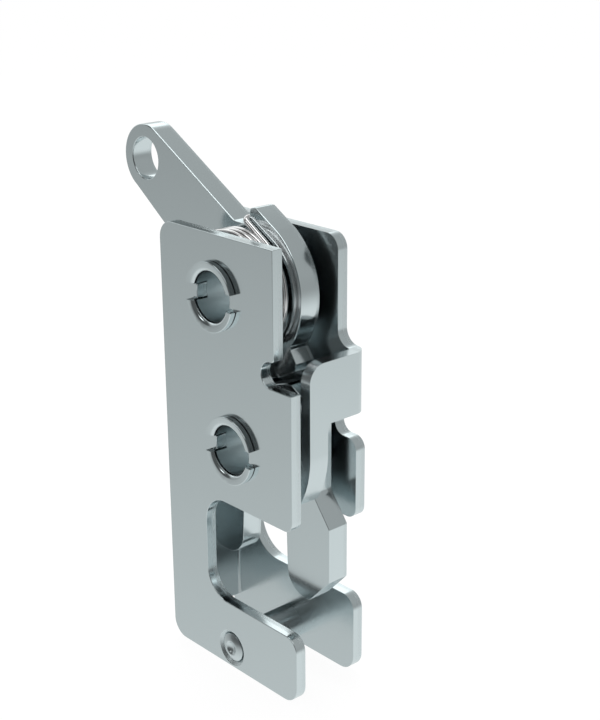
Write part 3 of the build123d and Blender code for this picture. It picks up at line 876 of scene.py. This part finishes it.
# %% [markdown]
# ## Floor card and lamp
#
# The object stands above a pale card that takes its soft shadow. For the camera the card is nearly
# all a plain white, so that it fades into the background, and metal sees through it to the room's
# own floor. One large softbox overhead gives the shadow, and metal doesn't mirror it.

# %% Floor card
CARD_HALF = 3.0            # metres, far past the picture's edges
CARD_BELOW = 0.0005        # metres below the lowest solid
CARD_TONE, CARD_WHITE = "#F2F3F3", 1.03
SHADOW_SHARE = 0.08        # how much of the card's own shading the camera sees
card, tree, out = blank_material("pale_card")
ray = put(tree, "LightPath").outputs
card_colour = put(tree, "BsdfDiffuse", {"Color": linear(CARD_TONE)}).outputs[0]
card_white = put(tree, "Emission", {"Color": PAPER, "Strength": CARD_WHITE}).outputs[0]
clear = put(tree, "BsdfTransparent").outputs[0]
seen_card = put(tree, "MixShader", {0: SHADOW_SHARE, 1: card_white, 2: card_colour}).outputs[0]
lit = put(tree, "MixShader", {0: ray["Is Camera Ray"], 1: card_colour, 2: seen_card}).outputs[0]
mirror = put(tree, "MixShader", {0: ray["Is Glossy Ray"], 1: lit, 2: clear}).outputs[0]
tree.links.new(mirror, out.inputs["Surface"])

low = float(cad_box[0][2]) - CARD_BELOW
corners = [(x * CARD_HALF, y * CARD_HALF, low) for x, y in ((-1, -1), (1, -1), (1, 1), (-1, 1))]
floor_mesh = bpy.data.meshes.new("floor")
floor_mesh.from_pydata(corners, [], [(0, 1, 2, 3)])
floor_mesh.materials.append(card)
add_object("floor", floor_mesh)
print("floor card at", round(low / MM, 2), "mm")

# %% [markdown]
# The softbox is an area lamp, because a small lamp would draw a hard shadow. It is turned so that
# it looks at the middle of the plates.

# %% Overhead softbox
LAMP_AT, LAMP_AIM = Vector((-150, 120, 420)), Vector((0, 8, 0))
LAMP_SIZE, LAMP_WATTS = 260, 1.2
softbox = bpy.data.lights.new("overhead_softbox", "AREA")
softbox.size = LAMP_SIZE * MM
softbox.energy = LAMP_WATTS
key = add_object("overhead_softbox", softbox)
key.location = LAMP_AT * MM
key.rotation_euler = (LAMP_AIM - LAMP_AT).to_track_quat("-Z", "Y").to_euler()
key.visible_glossy = False
print("softbox", round((LAMP_AIM - LAMP_AT).length), "mm away")

# %% [markdown]
# ## Camera
#
# The camera was solved from the photograph's edges. Its place, its direction and its up vector are
# in the frame of the solids, and the lens and shift are for a picture of 600 by 720 pixels.

# %% Camera
TALL, SENSOR = 720, 36.0           # pixels and millimetres
FOCAL, SHIFT = 1376.33, (-1.477, 2.166)    # pixels
CAMERA_AT = Vector((159.734, -128.993, 87.285))
view = bpy.data.cameras.new("photo_camera")
view.sensor_width = SENSOR
view.lens = FOCAL * SENSOR / TALL
view.shift_x, view.shift_y = SHIFT[0] / TALL, SHIFT[1] / TALL
view.clip_start, view.clip_end = 0.01, 20      # metres
eye = add_object("photo_camera", view)
ahead = Vector((-0.70004, 0.631805, -0.332815)).normalized()
right = ahead.cross(Vector((-0.24302, 0.227464, 0.942975))).normalized()
spin = Matrix((right, right.cross(ahead), -ahead)).transposed().to_4x4()
eye.matrix_world = Matrix.Translation(CAMERA_AT * MM) @ spin
bpy.context.scene.camera = eye
bpy.context.scene.view_settings.view_transform = "Standard"
print("camera with a lens of", round(view.lens, 2), "mm,", round(CAMERA_AT.length), "mm away")
